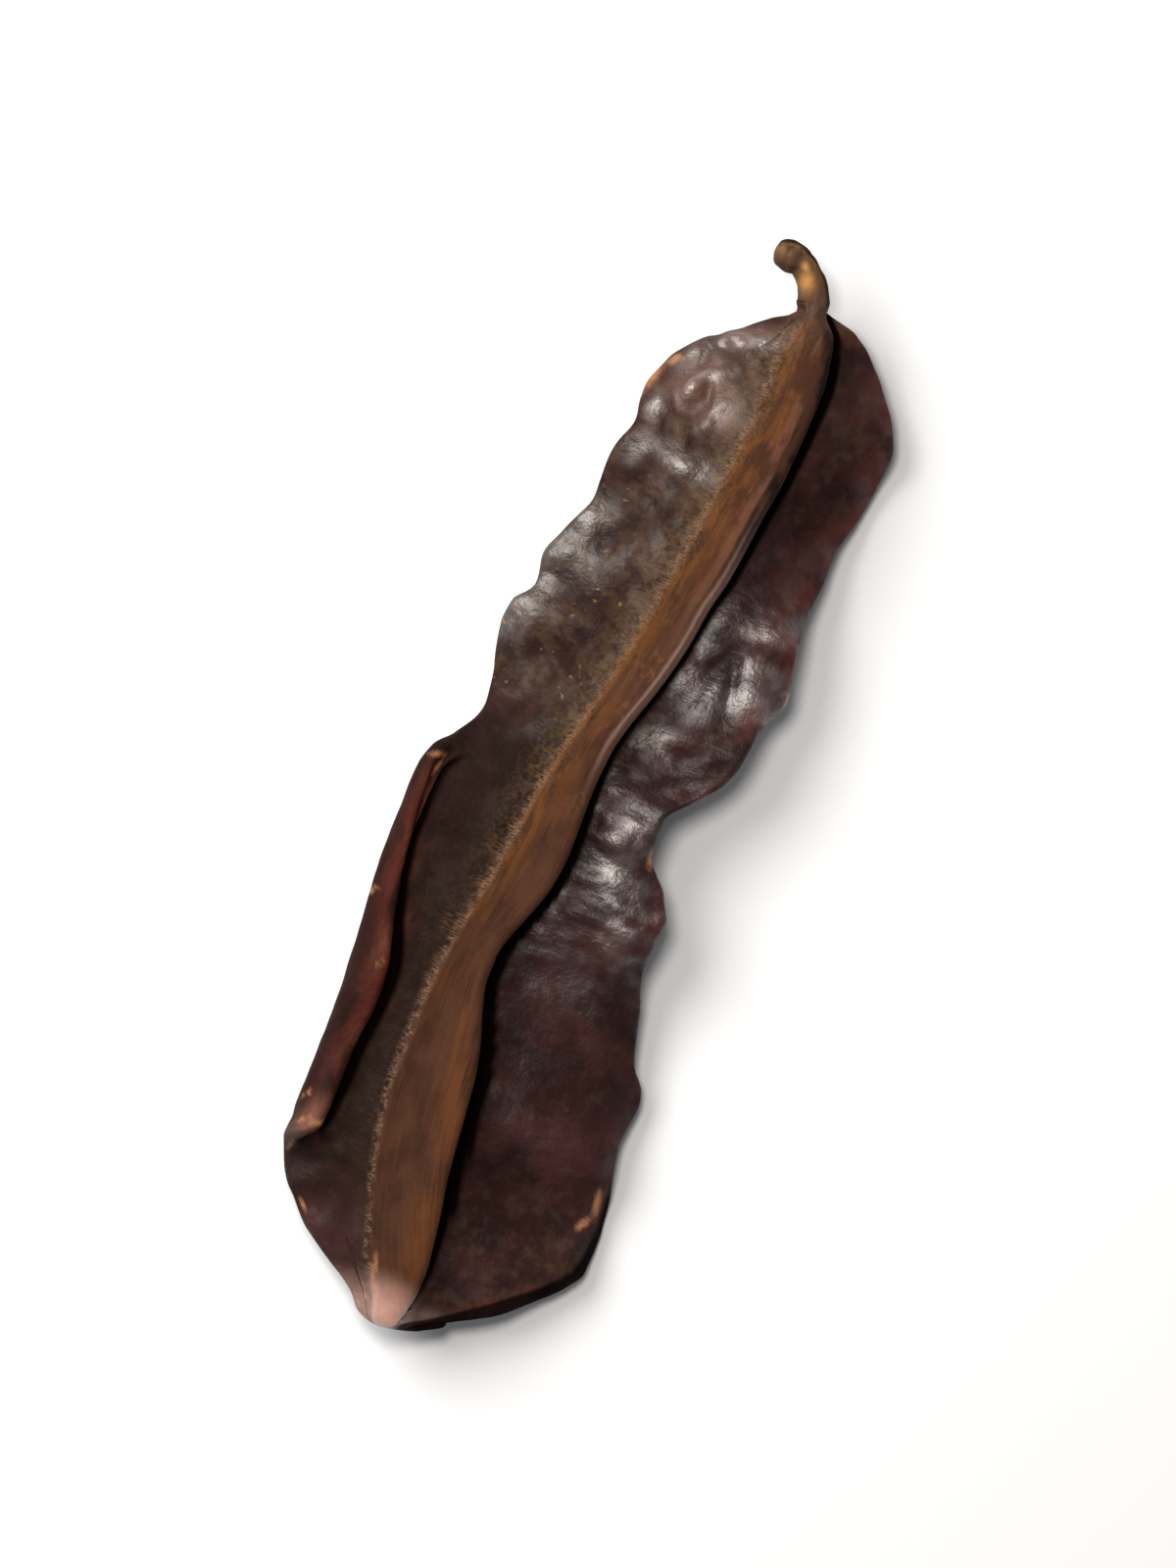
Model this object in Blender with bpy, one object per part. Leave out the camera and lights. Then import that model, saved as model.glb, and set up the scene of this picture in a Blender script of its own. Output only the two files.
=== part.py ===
"""A whole dried aridan pod with the stub of its stalk, as it lies on a table.

The fruit is one grown piece: a narrow core with four lengthwise wings. The two side wings are broad and
leathery. The front wing stands up and leans to the right, and the back wing is what the pod lies on. The
left wing's margin is rolled up over part of its length, and the right wing's is turned down near the apex.

Sections are cut square to y, which runs from the blunt apex to the stalk, with x to the right and z up.
"""

from math import pi, radians

import bpy
import numpy as np

MM = 0.001  # the sizes below are in millimetres

# The pod's plan seen from above, each a list of (y, x)
SPINE = (
    (0, -4), (8, -5.9), (20, -10), (30, -12.8), (42, -14.6), (56, -14.8), (68, -13.7), (82, -11.8),
    (96, -10.2), (108, -8), (122, -5.2), (138, -3.2), (156, -1.4), (172, -0.3), (184, -0.4), (192.4, -0.9),
)
RIGHT_MARGIN = (
    (-0.3, 1), (1.3, 2.4), (4, 7.3), (9, 15.8), (13, 20.3), (18, 25), (21.5, 26.9), (27, 27.1), (34, 26.2),
    (40, 24.7), (45, 23.9), (51.5, 24.5), (54.6, 23.8), (58, 21.2), (67, 18.5), (75, 16.2), (82, 16.5),
    (88, 14.2), (93.5, 9.9), (99.5, 9.7), (104, 12.8), (109, 16.7), (114, 18.5), (121, 19.1), (127, 21.3),
    (133, 20.2), (141, 18.9), (148, 19.4), (154, 19.2), (160, 20.7), (168, 21.6), (172.5, 21.9), (178, 20),
    (182, 17.2), (188, 11.6), (190.4, 7.9), (191.6, 4.8), (192.4, 2.6),
)
LEFT_MARGIN = (
    (-0.3, -6.6), (1.3, -7.7), (4, -10.2), (7, -15.1), (12.5, -23.1), (19, -28.4), (25, -30.5), (39, -30.8),
    (50, -31), (62, -32.2), (78, -33.7), (92.5, -33.6), (96.5, -32.6), (100, -29.8), (106, -27.2),
    (112, -27.9), (121, -29.7), (125, -29.3), (129, -27), (134, -27.6), (140, -26), (147, -23.4),
    (154, -23.5), (162, -21.9), (168, -22.4), (174, -20.8), (179, -17.3), (183, -11.7), (185, -9.6),
    (187.7, -6.6), (189, -4.2), (189.8, -3.1), (190.8, -3.2), (192.4, -3.9),
)
FRONT_CREST = (
    (-2, 0.4), (1.8, 0.9), (4, 1.4), (8, 1.8), (12, 1.6), (16, 0.9), (22, -0.1), (28, -1.3), (40, -2.8),
    (46, -3.6), (52, -5), (58, -7.1), (63, -8.2), (67, -8.2), (71, -7.3), (76, -5.6), (82, -3.9), (88, -3.4),
    (100, -3.7), (107, -3.3), (112, -2.3), (118, -0.5), (124, 1), (130, 2.1), (136, 2.8), (142, 4),
    (148, 4.7), (154, 5.3), (162, 6.3), (178, 6.9), (184, 6.2), (189, 4.9), (191, 3.7), (192.4, 2.3),
)
BACK_CREST = (
    (-2, -2), (2, 4.2), (4, 6.8), (5.5, 6.4), (9, 0), (15, -10), (24, -18.5), (44, -23.5), (62, -20.5),
    (80, -19), (98, -16.5), (114, -11.5), (132, -11), (150, -8.8), (168, -6.6), (182, -5), (192, -3.6),
)

# Heights of the wings' edges above the core's middle, each a list of (y, z)
FRONT_HEIGHT = (
    (-2, 1.8), (3, 3.4), (8, 5.6), (14, 8), (28, 10.2), (45, 10.8), (62, 12.6), (75, 12), (90, 11.6),
    (106, 12.6), (130, 12.4), (155, 11.4), (172, 9), (184, 6), (192, 3),
)
BACK_HEIGHT = (
    (-2, -2.6), (4, -5.2), (14, -10.4), (26, -13.2), (44, -14.2), (60, -13.7), (78, -13.3), (96, -13.2),
    (118, -13.5), (138, -14.1), (156, -13.2), (172, -10.2), (184, -6), (192, -3),
)
RIGHT_HEIGHT = (
    (-2, -0.2), (6, -1.6), (14, -4.2), (26, -6.5), (40, -5.6), (54, -4.5), (66, -2.4), (76, 0.4), (86, 3.2),
    (96, 4.4), (104, 3.4), (112, 2.2), (120, 2.2), (130, 2), (140, -0.8), (156, -4), (172, -4.4), (184, -3),
    (192, 0),
)
LEFT_HEIGHT = (
    (-2, 0), (8, -1.2), (20, -2.6), (34, -1), (60, 1.4), (88, 1.2), (100, -1), (116, -2.8), (134, -1.6),
    (148, 0.6), (160, -0.6), (172, -2.4), (184, -1.4), (192, 0),
)

# How far a side wing's marginal strip turns clockwise, as (y, degrees), and how wide the strip is. The left
# one turns up and over, the right one down.
LEFT_TURN = (
    (0, 0), (21, 0), (24.5, 120), (28, 180), (34, 190), (52, 200), (64, 195), (72, 175), (80, 150), (88, 112),
    (94, 95), (97.5, 55), (101, 0), (192, 0),
)
RIGHT_TURN = (
    (0, 20), (10, 55), (24, 75), (36, 60), (50, 35), (60, 15), (90, 20), (110, 5), (140, 15), (170, 30),
    (192, 0),
)
LEFT_STRIP = (
    (0, 8), (22, 8.5), (27, 11), (35, 9.8), (43, 8.6), (51, 9.8), (58, 10.2), (63, 8.8), (67, 7.4), (72, 7.2),
    (82, 6.4), (90, 5), (102, 5), (112, 7),
)
RIGHT_STRIP = ((0, 8), (192, 8))
STRIP_SHARE = 0.6  # of a short wing

# Half thickness of a wing at its root, over its middle and at its rim, and the way out to where it is free
SIDE_WING = (3.6, 1.7, 1.35)
RIDGE_WING = (3.0, 1.15, 1.3)
FREE = 6.0
SHORT = 14.0  # a wing shorter than this is thinner in proportion
ARCH = 0.12  # radians by which a side wing leaves the core above the line to its margin
FRONT_START, BACK_START = radians(98), radians(268)

# Waves of the side wings: length, height and place of the first crest
WAVES = ((34, 1.5, 8), (19, 0.8, 3))
LEFT_WAVE_SHIFT = 11.0
WAVE_REACH = 24.0  # the distance from the core at which they reach their full height

# Dents and swellings of the side wings: x, y, length, width, heading in degrees and height
SWELLINGS = (
    (15, 125, 11, 7, 75, 1.1), (8, 121, 10, 6, 60, 0.9), (11.5, 125, 9, 3, 100, -1.1),
    (16, 137, 8, 5, 20, 0.6), (4, 93, 8, 5, 20, 1), (3, 86, 7, 3, 15, 0.9), (2, 79, 7, 3, 5, 0.8),
    (9, 105, 9, 4, 35, -1.1), (14, 113, 7, 4, 30, 0.9), (6, 110, 6, 4, 10, -0.8), (14, 60, 16, 8, 80, 0.6),
    (12, 34, 18, 9, 95, -0.7), (-11.5, 157.5, 10, 4.5, 175, 1.2), (-9, 169, 6, 5, 60, 1.4),
    (-15, 172, 6, 5, 60, 1.2), (-12.5, 166, 7, 3.4, 130, -1.2), (-12.7, 180, 5, 3, 150, -1),
    (-24, 136, 8, 6.5, 75, 1.3), (-26, 122, 7, 5, 80, 0.8), (-18, 141, 8, 4, 120, -1),
    (-17, 150, 8, 4, 160, 0.9), (-18, 126, 10, 5, 50, 0.8), (-12, 128, 7, 4, 60, -0.7),
    (-20, 114, 12, 6, 80, -0.8), (-22, 76, 22, 6, 90, -0.6), (-17, 17, 9, 5, 60, -1.5),
    (-20, 24, 7, 4, 150, 0.9), (-25, 18, 7, 3.4, 45, 0.8),
)
RELIEF_SHARES = (0.7, 1.8)  # of the way out to free: where the relief starts and is at its full height

# The stalk: the way along it, its heading to the left of y in degrees, and its radius
STALK_HEADING = ((0, 14), (1.6, 28), (3.6, 36), (5.4, 48), (7.2, 66), (9, 84), (10.8, 94))
STALK_RADIUS = ((0, 2.9), (2.5, 2.7), (5.2, 2.4), (6.8, 2.35), (9, 2.85), (10.8, 2.6))
STALK_SLOPE = 0.1
STALK_END_BULGE = 0.7

# Lengths over which the side wings and the other two turn into the stalk's round section, and where each
# wing starts, has its rim and ends on that section, in degrees
SIDE_ROUNDING, RIDGE_ROUNDING = 1.8, 4.5
WING_ARCS = ((-80, -45, -12), (-12, 14, 125), (125, 170, 215), (215, 250, 280))

# The ends of the body, and the length over which the apex is rounded off
APEX, SHOULDER, NOSE = -0.3, 192.4, 1.7
NOSE_MIDDLE = (-3.2, 0.0)

FLAT_SPOT = 0.35  # how much is worn flat where the pod touches the table

# Columns of points across a wing's face and its strip, and round a rim and a valley; rows along each stretch
SIDE_COLUMNS, STRIP_COLUMNS, RIDGE_COLUMNS = 5, 4, 5
RIM_COLUMNS, VALLEY_COLUMNS = 3, 1
NOSE_ROWS, BODY_ROWS, STALK_ROWS, END_ROWS = 3, 70, 7, 2
ROW_DENSITY = (
    (0, 2), (10, 1.3), (17, 1), (25, 1.7), (32, 1), (60, 0.9), (90, 1), (97, 1.8), (104, 1), (150, 0.8),
    (174, 1), (188, 2), (192.4, 2.6),
)
FITTING_ROUNDS = 3
FILLET_HANDLE = 0.5  # of the gap between two wings, for the curve that joins them
WAVE_GROWTH = 1.5
PATH_STEPS = 400  # the fine steps along which rows are spaced and the stalk's bend is followed

HUSK_COLOUR = (0.047, 0.022, 0.018)
HUSK_ROUGHNESS = 0.42


def curve(points, at):
    """Value at a place on a smooth curve through (place, value) points that never swings past them."""
    x, y = np.array(points, float).T
    rise = np.diff(y) / np.diff(x)
    slope = np.r_[rise[0], np.zeros(len(x) - 2), rise[-1]]
    level = rise[:-1] * rise[1:] <= 0
    total = np.where(level, 1, rise[:-1] + rise[1:])
    slope[1:-1] = np.where(level, 0, 2 * rise[:-1] * rise[1:] / total)
    i = np.clip(np.searchsorted(x, at) - 1, 0, len(x) - 2)
    gap = x[i + 1] - x[i]
    t = np.clip((at - x[i]) / gap, 0, 1)
    return (y[i] * (1 + 2 * t) * (1 - t) ** 2 + y[i + 1] * t * t * (3 - 2 * t)
            + gap * t * (1 - t) * (slope[i] * (1 - t) - slope[i + 1] * t))


def ease(low, high, at):
    """Smooth rise from 0 at low to 1 at high."""
    t = np.clip((at - low) / (high - low), 0, 1)
    return t * t * (3 - 2 * t)


def bow(start, heading, length, swing, t):
    """Points and headings at fractions t of arcs that leave start at a heading and turn by twice a swing."""
    facing = heading + swing * t
    along = length * t * np.sinc(swing * t / pi)
    points = start + along[..., None] * np.stack((np.cos(facing), np.sin(facing)), axis=-1)
    return points, facing + swing * t


def wing(core, knee, heading, strip, turn, sizes, columns):
    """One wing's loop of points in each section: out along its face, round the rim and back along the other.

    The wing leaves the core at a heading and bends evenly to the knee. Beyond it the marginal strip turns
    clockwise. Also gives the headings at the loop's two ends.
    """
    chord = knee - core
    swing = (np.arctan2(chord[..., 1], chord[..., 0]) - heading + pi) % (2 * pi) - pi
    length = np.hypot(chord[..., 0], chord[..., 1]) / np.sinc(swing / pi)
    size = np.minimum(1, (length + strip) / SHORT)
    free = FREE * size / length
    inner = free + (1 - free) * np.linspace(0, 1, columns)
    points, facing = bow(core, heading, length, swing, inner)
    way = inner * length
    if np.any(strip > 0):
        outer = np.linspace(0, 1, STRIP_COLUMNS + 1)[None, 1:]
        more, ends = bow(points[:, -1:], facing[:, -1:], strip, -turn / 2, outer)
        points = np.concatenate((points, more), axis=1)
        facing = np.concatenate((facing, ends), axis=1)
        way = np.concatenate((way, length + outer * strip), axis=1)
    share = way / (length + strip)
    root, middle, rim = sizes
    half = size * (middle + (root - middle) * (1 - share) ** 3 + (rim - middle) * share ** 4)
    out = np.stack((np.cos(facing), np.sin(facing)), axis=-1)
    aside = np.stack((-np.sin(facing), np.cos(facing)), axis=-1)
    face = points - half[..., None] * aside
    back = (points + half[..., None] * aside)[:, ::-1]
    bend = ((np.arange(RIM_COLUMNS) + 1) * pi / (RIM_COLUMNS + 1) - pi / 2)[None, :, None]
    swept = np.cos(bend) * out[:, -1:] + np.sin(bend) * aside[:, -1:]
    round_rim = points[:, -1:] + half[:, -1:, None] * swept
    return np.concatenate((face, round_rim, back), axis=1), out[:, :1]


def valley(last, leaving, first, arriving):
    """Points round the fillet between two wings."""
    t = ((np.arange(VALLEY_COLUMNS) + 1) / (VALLEY_COLUMNS + 1))[None, :, None]
    handle = FILLET_HANDLE * np.linalg.norm(first - last, axis=-1, keepdims=True)
    return (last * (1 - t) ** 3 + 3 * (last - handle * leaving) * t * (1 - t) ** 2
            + 3 * (first - handle * arriving) * t * t * (1 - t) + first * t ** 3)


def relief(x, y, spine):
    """Height of the side wings' waves, dents and swellings."""
    away = np.abs(x - spine)
    place = y + np.where(x < spine, LEFT_WAVE_SHIFT, 0)
    height = sum(tall * np.cos(2 * pi * (place - crest) / long) for long, tall, crest in WAVES)
    height = height * np.clip(away / WAVE_REACH, 0, 1) ** WAVE_GROWTH
    for centre_x, centre_y, long, wide, heading, tall in SWELLINGS:
        c, s = np.cos(radians(heading)), np.sin(radians(heading))
        along = (x - centre_x) * c + (y - centre_y) * s
        across = (y - centre_y) * c - (x - centre_x) * s
        height = height + tall * np.exp(-(2 * along / long) ** 2 - (2 * across / wide) ** 2)
    start, full = RELIEF_SHARES
    return height * ease(FREE * start, FREE * full, away)


def side_wing(y, core, margin, height, turns, strips, sign):
    """A side wing with its outermost point on its margin. The sign is 1 on the right and -1 on the left."""
    margin = sign * curve(margin, y)
    strip = np.minimum(curve(strips, y), STRIP_SHARE * (margin - sign * core[..., 0]))
    turn = np.radians(curve(turns, y))
    knee = np.stack((sign * (margin - strip), curve(height, y)), axis=-1)
    for _ in range(FITTING_ROUNDS):
        chord = knee - core
        heading = np.arctan2(chord[..., 1], chord[..., 0]) + sign * ARCH
        loop, facing = wing(core, knee, heading, strip, turn, SIDE_WING, SIDE_COLUMNS)
        over = (sign * loop[..., 0]).max(axis=1, keepdims=True) - margin
        knee = knee - sign * np.stack((over, 0 * over), axis=-1)
    loop[..., 1] += relief(loop[..., 0], y, core[..., 0])
    return loop, facing


def ridge_wing(y, core, crest, height, start, inset):
    """The front or the back wing, which leaves the core at one heading all along."""
    tip = np.stack((curve(crest, y) - inset, curve(height, y)), axis=-1)
    none = np.zeros_like(y)
    return wing(core, tip, start + none, none, none, RIDGE_WING, RIDGE_COLUMNS)


def body_rows():
    """Rows of points from the rounded apex to the stalk's foot, and each point's angle in a round section."""
    nose = pi / 2 * (np.arange(NOSE_ROWS) + 1) / (NOSE_ROWS + 1)
    fine = np.linspace(APEX + NOSE, SHOULDER, PATH_STEPS)
    count = np.cumsum(curve(ROW_DENSITY, fine))
    share = (count - count[0]) / (count[-1] - count[0])
    y = np.r_[APEX + NOSE * (1 - np.cos(nose)), np.interp(np.arange(BODY_ROWS) / BODY_ROWS, share, fine)]
    y = y[:, None]
    core = np.stack((curve(SPINE, y), 0 * y), axis=-1)
    wings = (
        side_wing(y, core, RIGHT_MARGIN, RIGHT_HEIGHT, RIGHT_TURN, RIGHT_STRIP, 1),
        ridge_wing(y, core, FRONT_CREST, FRONT_HEIGHT, FRONT_START, RIDGE_WING[2]),
        side_wing(y, core, LEFT_MARGIN, LEFT_HEIGHT, LEFT_TURN, LEFT_STRIP, -1),
        ridge_wing(y, core, BACK_CREST, BACK_HEIGHT, BACK_START, 0),
    )
    loop, angles, rounding = [], [], []
    for k, (points, facing) in enumerate(wings):
        following, next_facing = wings[(k + 1) % 4]
        loop += [points, valley(points[:, -1:], facing, following[:, :1], next_facing)]
        count = points.shape[1] + VALLEY_COLUMNS
        stops = (0, points.shape[1] / 2, count)
        angles.append(np.radians(np.interp(np.arange(count) + 0.5, stops, WING_ARCS[k])))
        own, other = (SIDE_ROUNDING, RIDGE_ROUNDING) if k % 2 == 0 else (RIDGE_ROUNDING, SIDE_ROUNDING)
        between = np.linspace(own, other, VALLEY_COLUMNS + 2)[1:-1]
        rounding.append(np.r_[np.full(points.shape[1], own), between])
    points, angles = np.concatenate(loop, axis=1), np.concatenate(angles)
    shrink = np.r_[np.sin(nose), np.ones(BODY_ROWS)][:, None, None]
    points = NOSE_MIDDLE + (points - NOSE_MIDDLE) * shrink
    ring = STALK_RADIUS[0][1] * np.stack((np.cos(angles), np.sin(angles)), axis=-1) + (SPINE[-1][1], 0)
    turned = ease(SHOULDER - np.concatenate(rounding), SHOULDER, y)[..., None]
    points = points * (1 - turned) + ring * turned
    return np.stack((points[..., 0], y + 0 * points[..., 0], points[..., 1]), axis=-1), angles


def stalk_rows(angles):
    """Rings of points along the bent stalk and over its blunt end, and the end's middle."""
    length = STALK_HEADING[-1][0]
    step = np.linspace(0, length, PATH_STEPS)
    bend = np.radians(curve(STALK_HEADING, step))
    path = np.stack((-np.sin(bend), np.cos(bend), np.full_like(bend, STALK_SLOPE)), axis=-1)
    path = np.cumsum(path, axis=0) * (step[1] - step[0])
    end = pi / 2 * (np.arange(END_ROWS) + 1) / (END_ROWS + 1)
    way = np.r_[np.linspace(0, length, STALK_ROWS), np.full(END_ROWS, length)]
    past = STALK_END_BULGE * STALK_RADIUS[-1][1] * np.r_[np.zeros(STALK_ROWS), np.sin(end)]
    heading = np.radians(curve(STALK_HEADING, way))
    radius = curve(STALK_RADIUS, way) * np.r_[np.ones(STALK_ROWS), np.cos(end)]
    forward = np.stack((-np.sin(heading), np.cos(heading), 0 * heading), axis=-1)
    sideways = np.stack((np.cos(heading), np.sin(heading), 0 * heading), axis=-1)
    upward = np.array((0, 0, 1))
    foot = np.array((SPINE[-1][1], SHOULDER, 0))
    centre = foot + np.stack([np.interp(way, step, path[:, k]) for k in range(3)], axis=-1)
    tip = centre[STALK_ROWS - 1] + forward[-1] * STALK_END_BULGE * STALK_RADIUS[-1][1]
    centre = centre + forward * past[:, None]
    ring = sideways[:, None] * np.cos(angles)[None, :, None] + upward * np.sin(angles)[None, :, None]
    return centre[:, None] + radius[:, None, None] * ring, tip


def settled(points):
    """The points laid on the table, with the origin under the middle of the pod."""
    low, high = points.min(axis=0), points.max(axis=0)
    points = points - ((low[0] + high[0]) / 2, (low[1] + high[1]) / 2, low[2] + FLAT_SPOT)
    return np.maximum(points, (-np.inf, -np.inf, 0))


def skin(rows, columns):
    """Triangles over the rows of points and the fans at both ends, split alike on both faces of a wing."""
    faces = []
    returning = []
    for face in (SIDE_COLUMNS + STRIP_COLUMNS, RIDGE_COLUMNS) * 2:
        going = face + RIM_COLUMNS // 2
        returning += [False] * going + [True] * (2 * face + RIM_COLUMNS + VALLEY_COLUMNS - going)
    for i in range(rows - 1):
        for j in range(columns):
            a, b = i * columns + j, i * columns + (j + 1) % columns
            c, d = b + columns, a + columns
            if returning[j]:
                faces += [(a, d, b), (d, c, b)]
            else:
                faces += [(a, d, c), (a, c, b)]
    first, last = rows * columns, rows * columns + 1
    ring = (rows - 1) * columns
    for j in range(columns):
        after = (j + 1) % columns
        faces += [(first, j, after), (last, ring + after, ring + j)]
    return faces


def husk_material():
    """Dry, leathery and slightly glossy dark brown husk."""
    material = bpy.data.materials.new("husk")
    material.use_nodes = True
    shader = material.node_tree.nodes["Principled BSDF"]
    shader.inputs["Base Color"].default_value = (*HUSK_COLOUR, 1)
    shader.inputs["Roughness"].default_value = HUSK_ROUGHNESS
    shader.inputs["Metallic"].default_value = 0
    return material


def aridan_pod():
    """The whole pod with its stalk as one closed skin."""
    body, angles = body_rows()
    stalk, tip = stalk_rows(angles)
    rows = np.concatenate((body, stalk))
    apex = np.array((NOSE_MIDDLE[0], APEX, NOSE_MIDDLE[1]))
    points = np.concatenate((rows.reshape(-1, 3), (apex, tip)))
    mesh = bpy.data.meshes.new("aridan_pod")
    mesh.from_pydata((settled(points) * MM).tolist(), [], skin(*rows.shape[:2]))
    mesh.shade_smooth()
    mesh.materials.append(husk_material())
    pod = bpy.data.objects.new("aridan_pod", mesh)
    bpy.context.scene.collection.objects.link(pod)
    return pod


for old in list(bpy.data.objects):
    bpy.data.objects.remove(old)
aridan_pod()
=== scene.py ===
from math import cos, pi, radians, sin

import bpy
import numpy as np
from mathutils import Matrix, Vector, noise


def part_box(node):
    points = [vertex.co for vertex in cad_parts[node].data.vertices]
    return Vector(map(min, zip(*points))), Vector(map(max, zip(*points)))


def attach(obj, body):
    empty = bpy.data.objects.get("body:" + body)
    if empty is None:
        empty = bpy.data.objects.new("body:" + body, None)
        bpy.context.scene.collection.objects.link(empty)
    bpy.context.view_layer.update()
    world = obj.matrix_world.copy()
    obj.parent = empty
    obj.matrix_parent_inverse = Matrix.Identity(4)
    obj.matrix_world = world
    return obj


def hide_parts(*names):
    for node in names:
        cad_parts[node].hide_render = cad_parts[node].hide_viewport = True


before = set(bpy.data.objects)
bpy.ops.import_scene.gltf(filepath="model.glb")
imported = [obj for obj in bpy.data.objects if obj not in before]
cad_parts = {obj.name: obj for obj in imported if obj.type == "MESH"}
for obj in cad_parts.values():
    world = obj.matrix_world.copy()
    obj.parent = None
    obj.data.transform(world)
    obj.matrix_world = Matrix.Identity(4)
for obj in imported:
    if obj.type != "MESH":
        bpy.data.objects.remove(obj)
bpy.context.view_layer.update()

# The side wings
# Two broad leathery wings, waved and dented where they dried. The left one's margin rolled up and over along
# half its length, and the right one's turned down near the apex. Outlines are in millimetres, as (y, x) or
# (y, z), with y from the apex to the stalk, x to the right and z up from the core.
MM = 0.001
RIGHT_MARGIN = (
    (-0.3, 1), (1.3, 2.4), (4, 7.3), (9, 15.8), (13, 20.3), (18, 25), (21.5, 26.9), (27, 27.1), (34, 26.2),
    (40, 24.7), (45, 23.9), (51.5, 24.5), (54.6, 23.8), (58, 21.2), (67, 18.5), (75, 16.2), (82, 16.5),
    (88, 14.2), (93.5, 9.9), (99.5, 9.7), (104, 12.8), (109, 16.7), (114, 18.5), (121, 19.1), (127, 21.3),
    (133, 20.2), (141, 18.9), (148, 19.4), (154, 19.2), (160, 20.7), (168, 21.6), (172.5, 21.9), (178, 20),
    (182, 17.2), (188, 11.6), (190.4, 7.9), (191.6, 4.8), (192.4, 2.6),
)
LEFT_MARGIN = (
    (-0.3, -6.6), (1.3, -7.7), (4, -10.2), (7, -15.1), (12.5, -23.1), (19, -28.4), (25, -30.5), (39, -30.8),
    (50, -31), (62, -32.2), (78, -33.7), (92.5, -33.6), (96.5, -32.6), (100, -29.8), (106, -27.2),
    (112, -27.9), (121, -29.7), (125, -29.3), (129, -27), (134, -27.6), (140, -26), (147, -23.4),
    (154, -23.5), (162, -21.9), (168, -22.4), (174, -20.8), (179, -17.3), (183, -11.7), (185, -9.6),
    (187.7, -6.6), (189, -4.2), (189.8, -3.1), (190.8, -3.2), (192.4, -3.9),
)
RIGHT_HEIGHT = (
    (-2, -0.2), (6, -1.6), (14, -4.2), (26, -6.5), (40, -5.6), (54, -4.5), (66, -2.4), (76, 0.4), (86, 3.2),
    (96, 4.4), (104, 3.4), (112, 2.2), (120, 2.2), (130, 2), (140, -0.8), (156, -4), (172, -4.4), (184, -3),
    (192, 0),
)
LEFT_HEIGHT = (
    (-2, 0), (8, -1.2), (20, -2.6), (34, -1), (60, 1.4), (88, 1.2), (100, -1), (116, -2.8), (134, -1.6),
    (148, 0.6), (160, -0.6), (172, -2.4), (184, -1.4), (192, 0),
)
LEFT_TURN = (
    (0, 0), (21, 0), (24.5, 120), (28, 180), (34, 190), (52, 200), (64, 195), (72, 175), (80, 150), (88, 112),
    (94, 95), (97.5, 55), (101, 0), (192, 0),
)  # y and how many degrees clockwise the marginal strip turns
RIGHT_TURN = (
    (0, 20), (10, 55), (24, 75), (36, 60), (50, 35), (60, 15), (90, 20), (110, 5), (140, 15), (170, 30),
    (192, 0),
)
LEFT_STRIP = (
    (0, 8), (22, 8.5), (27, 11), (35, 9.8), (43, 8.6), (51, 9.8), (58, 10.2), (63, 8.8), (67, 7.4), (72, 7.2),
    (82, 6.4), (90, 5), (102, 5), (112, 7),
)
RIGHT_STRIP = ((0, 8), (192, 8))
STRIP_SHARE = 0.6  # of a short wing
SIDE_WING = (3.6, 1.7, 1.35)  # half thickness at the root, over the middle and at the rim
FREE = 6.0  # the way out from the core to where a wing stands free
SHORT = 14.0  # a wing shorter than this is thinner in proportion
ARCH = 0.12  # how far a side wing's heading at the core leans up, in radians
WAVES = ((34, 1.5, 8), (19, 0.8, 3))  # length, height and place of the first crest
WAVE_GROWTH = 1.5
LEFT_WAVE_SHIFT = 11.0
WAVE_REACH = 24.0
RELIEF_SHARES = (0.7, 1.8)  # of FREE, from where the waves and dents set in
SWELLINGS = (
    (15, 125, 11, 7, 75, 1.1), (8, 121, 10, 6, 60, 0.9), (11.5, 125, 9, 3, 100, -1.1),
    (16, 137, 8, 5, 20, 0.6), (4, 93, 8, 5, 20, 1), (3, 86, 7, 3, 15, 0.9), (2, 79, 7, 3, 5, 0.8),
    (9, 105, 9, 4, 35, -1.1), (14, 113, 7, 4, 30, 0.9), (6, 110, 6, 4, 10, -0.8), (14, 60, 16, 8, 80, 0.6),
    (12, 34, 18, 9, 95, -0.7), (-11.5, 157.5, 10, 4.5, 175, 1.2), (-9, 169, 6, 5, 60, 1.4),
    (-15, 172, 6, 5, 60, 1.2), (-12.5, 166, 7, 3.4, 130, -1.2), (-12.7, 180, 5, 3, 150, -1),
    (-24, 136, 8, 6.5, 75, 1.3), (-26, 122, 7, 5, 80, 0.8), (-18, 141, 8, 4, 120, -1),
    (-17, 150, 8, 4, 160, 0.9), (-18, 126, 10, 5, 50, 0.8), (-12, 128, 7, 4, 60, -0.7),
    (-20, 114, 12, 6, 80, -0.8), (-22, 76, 22, 6, 90, -0.6), (-17, 17, 9, 5, 60, -1.5),
    (-20, 24, 7, 4, 150, 0.9), (-25, 18, 7, 3.4, 45, 0.8),
)  # dents and swellings: x, y, length, width, heading in degrees and height
SIDE_COLUMNS, STRIP_COLUMNS, RIM_COLUMNS = 26, 14, 5
FITTING_ROUNDS = 3


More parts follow.
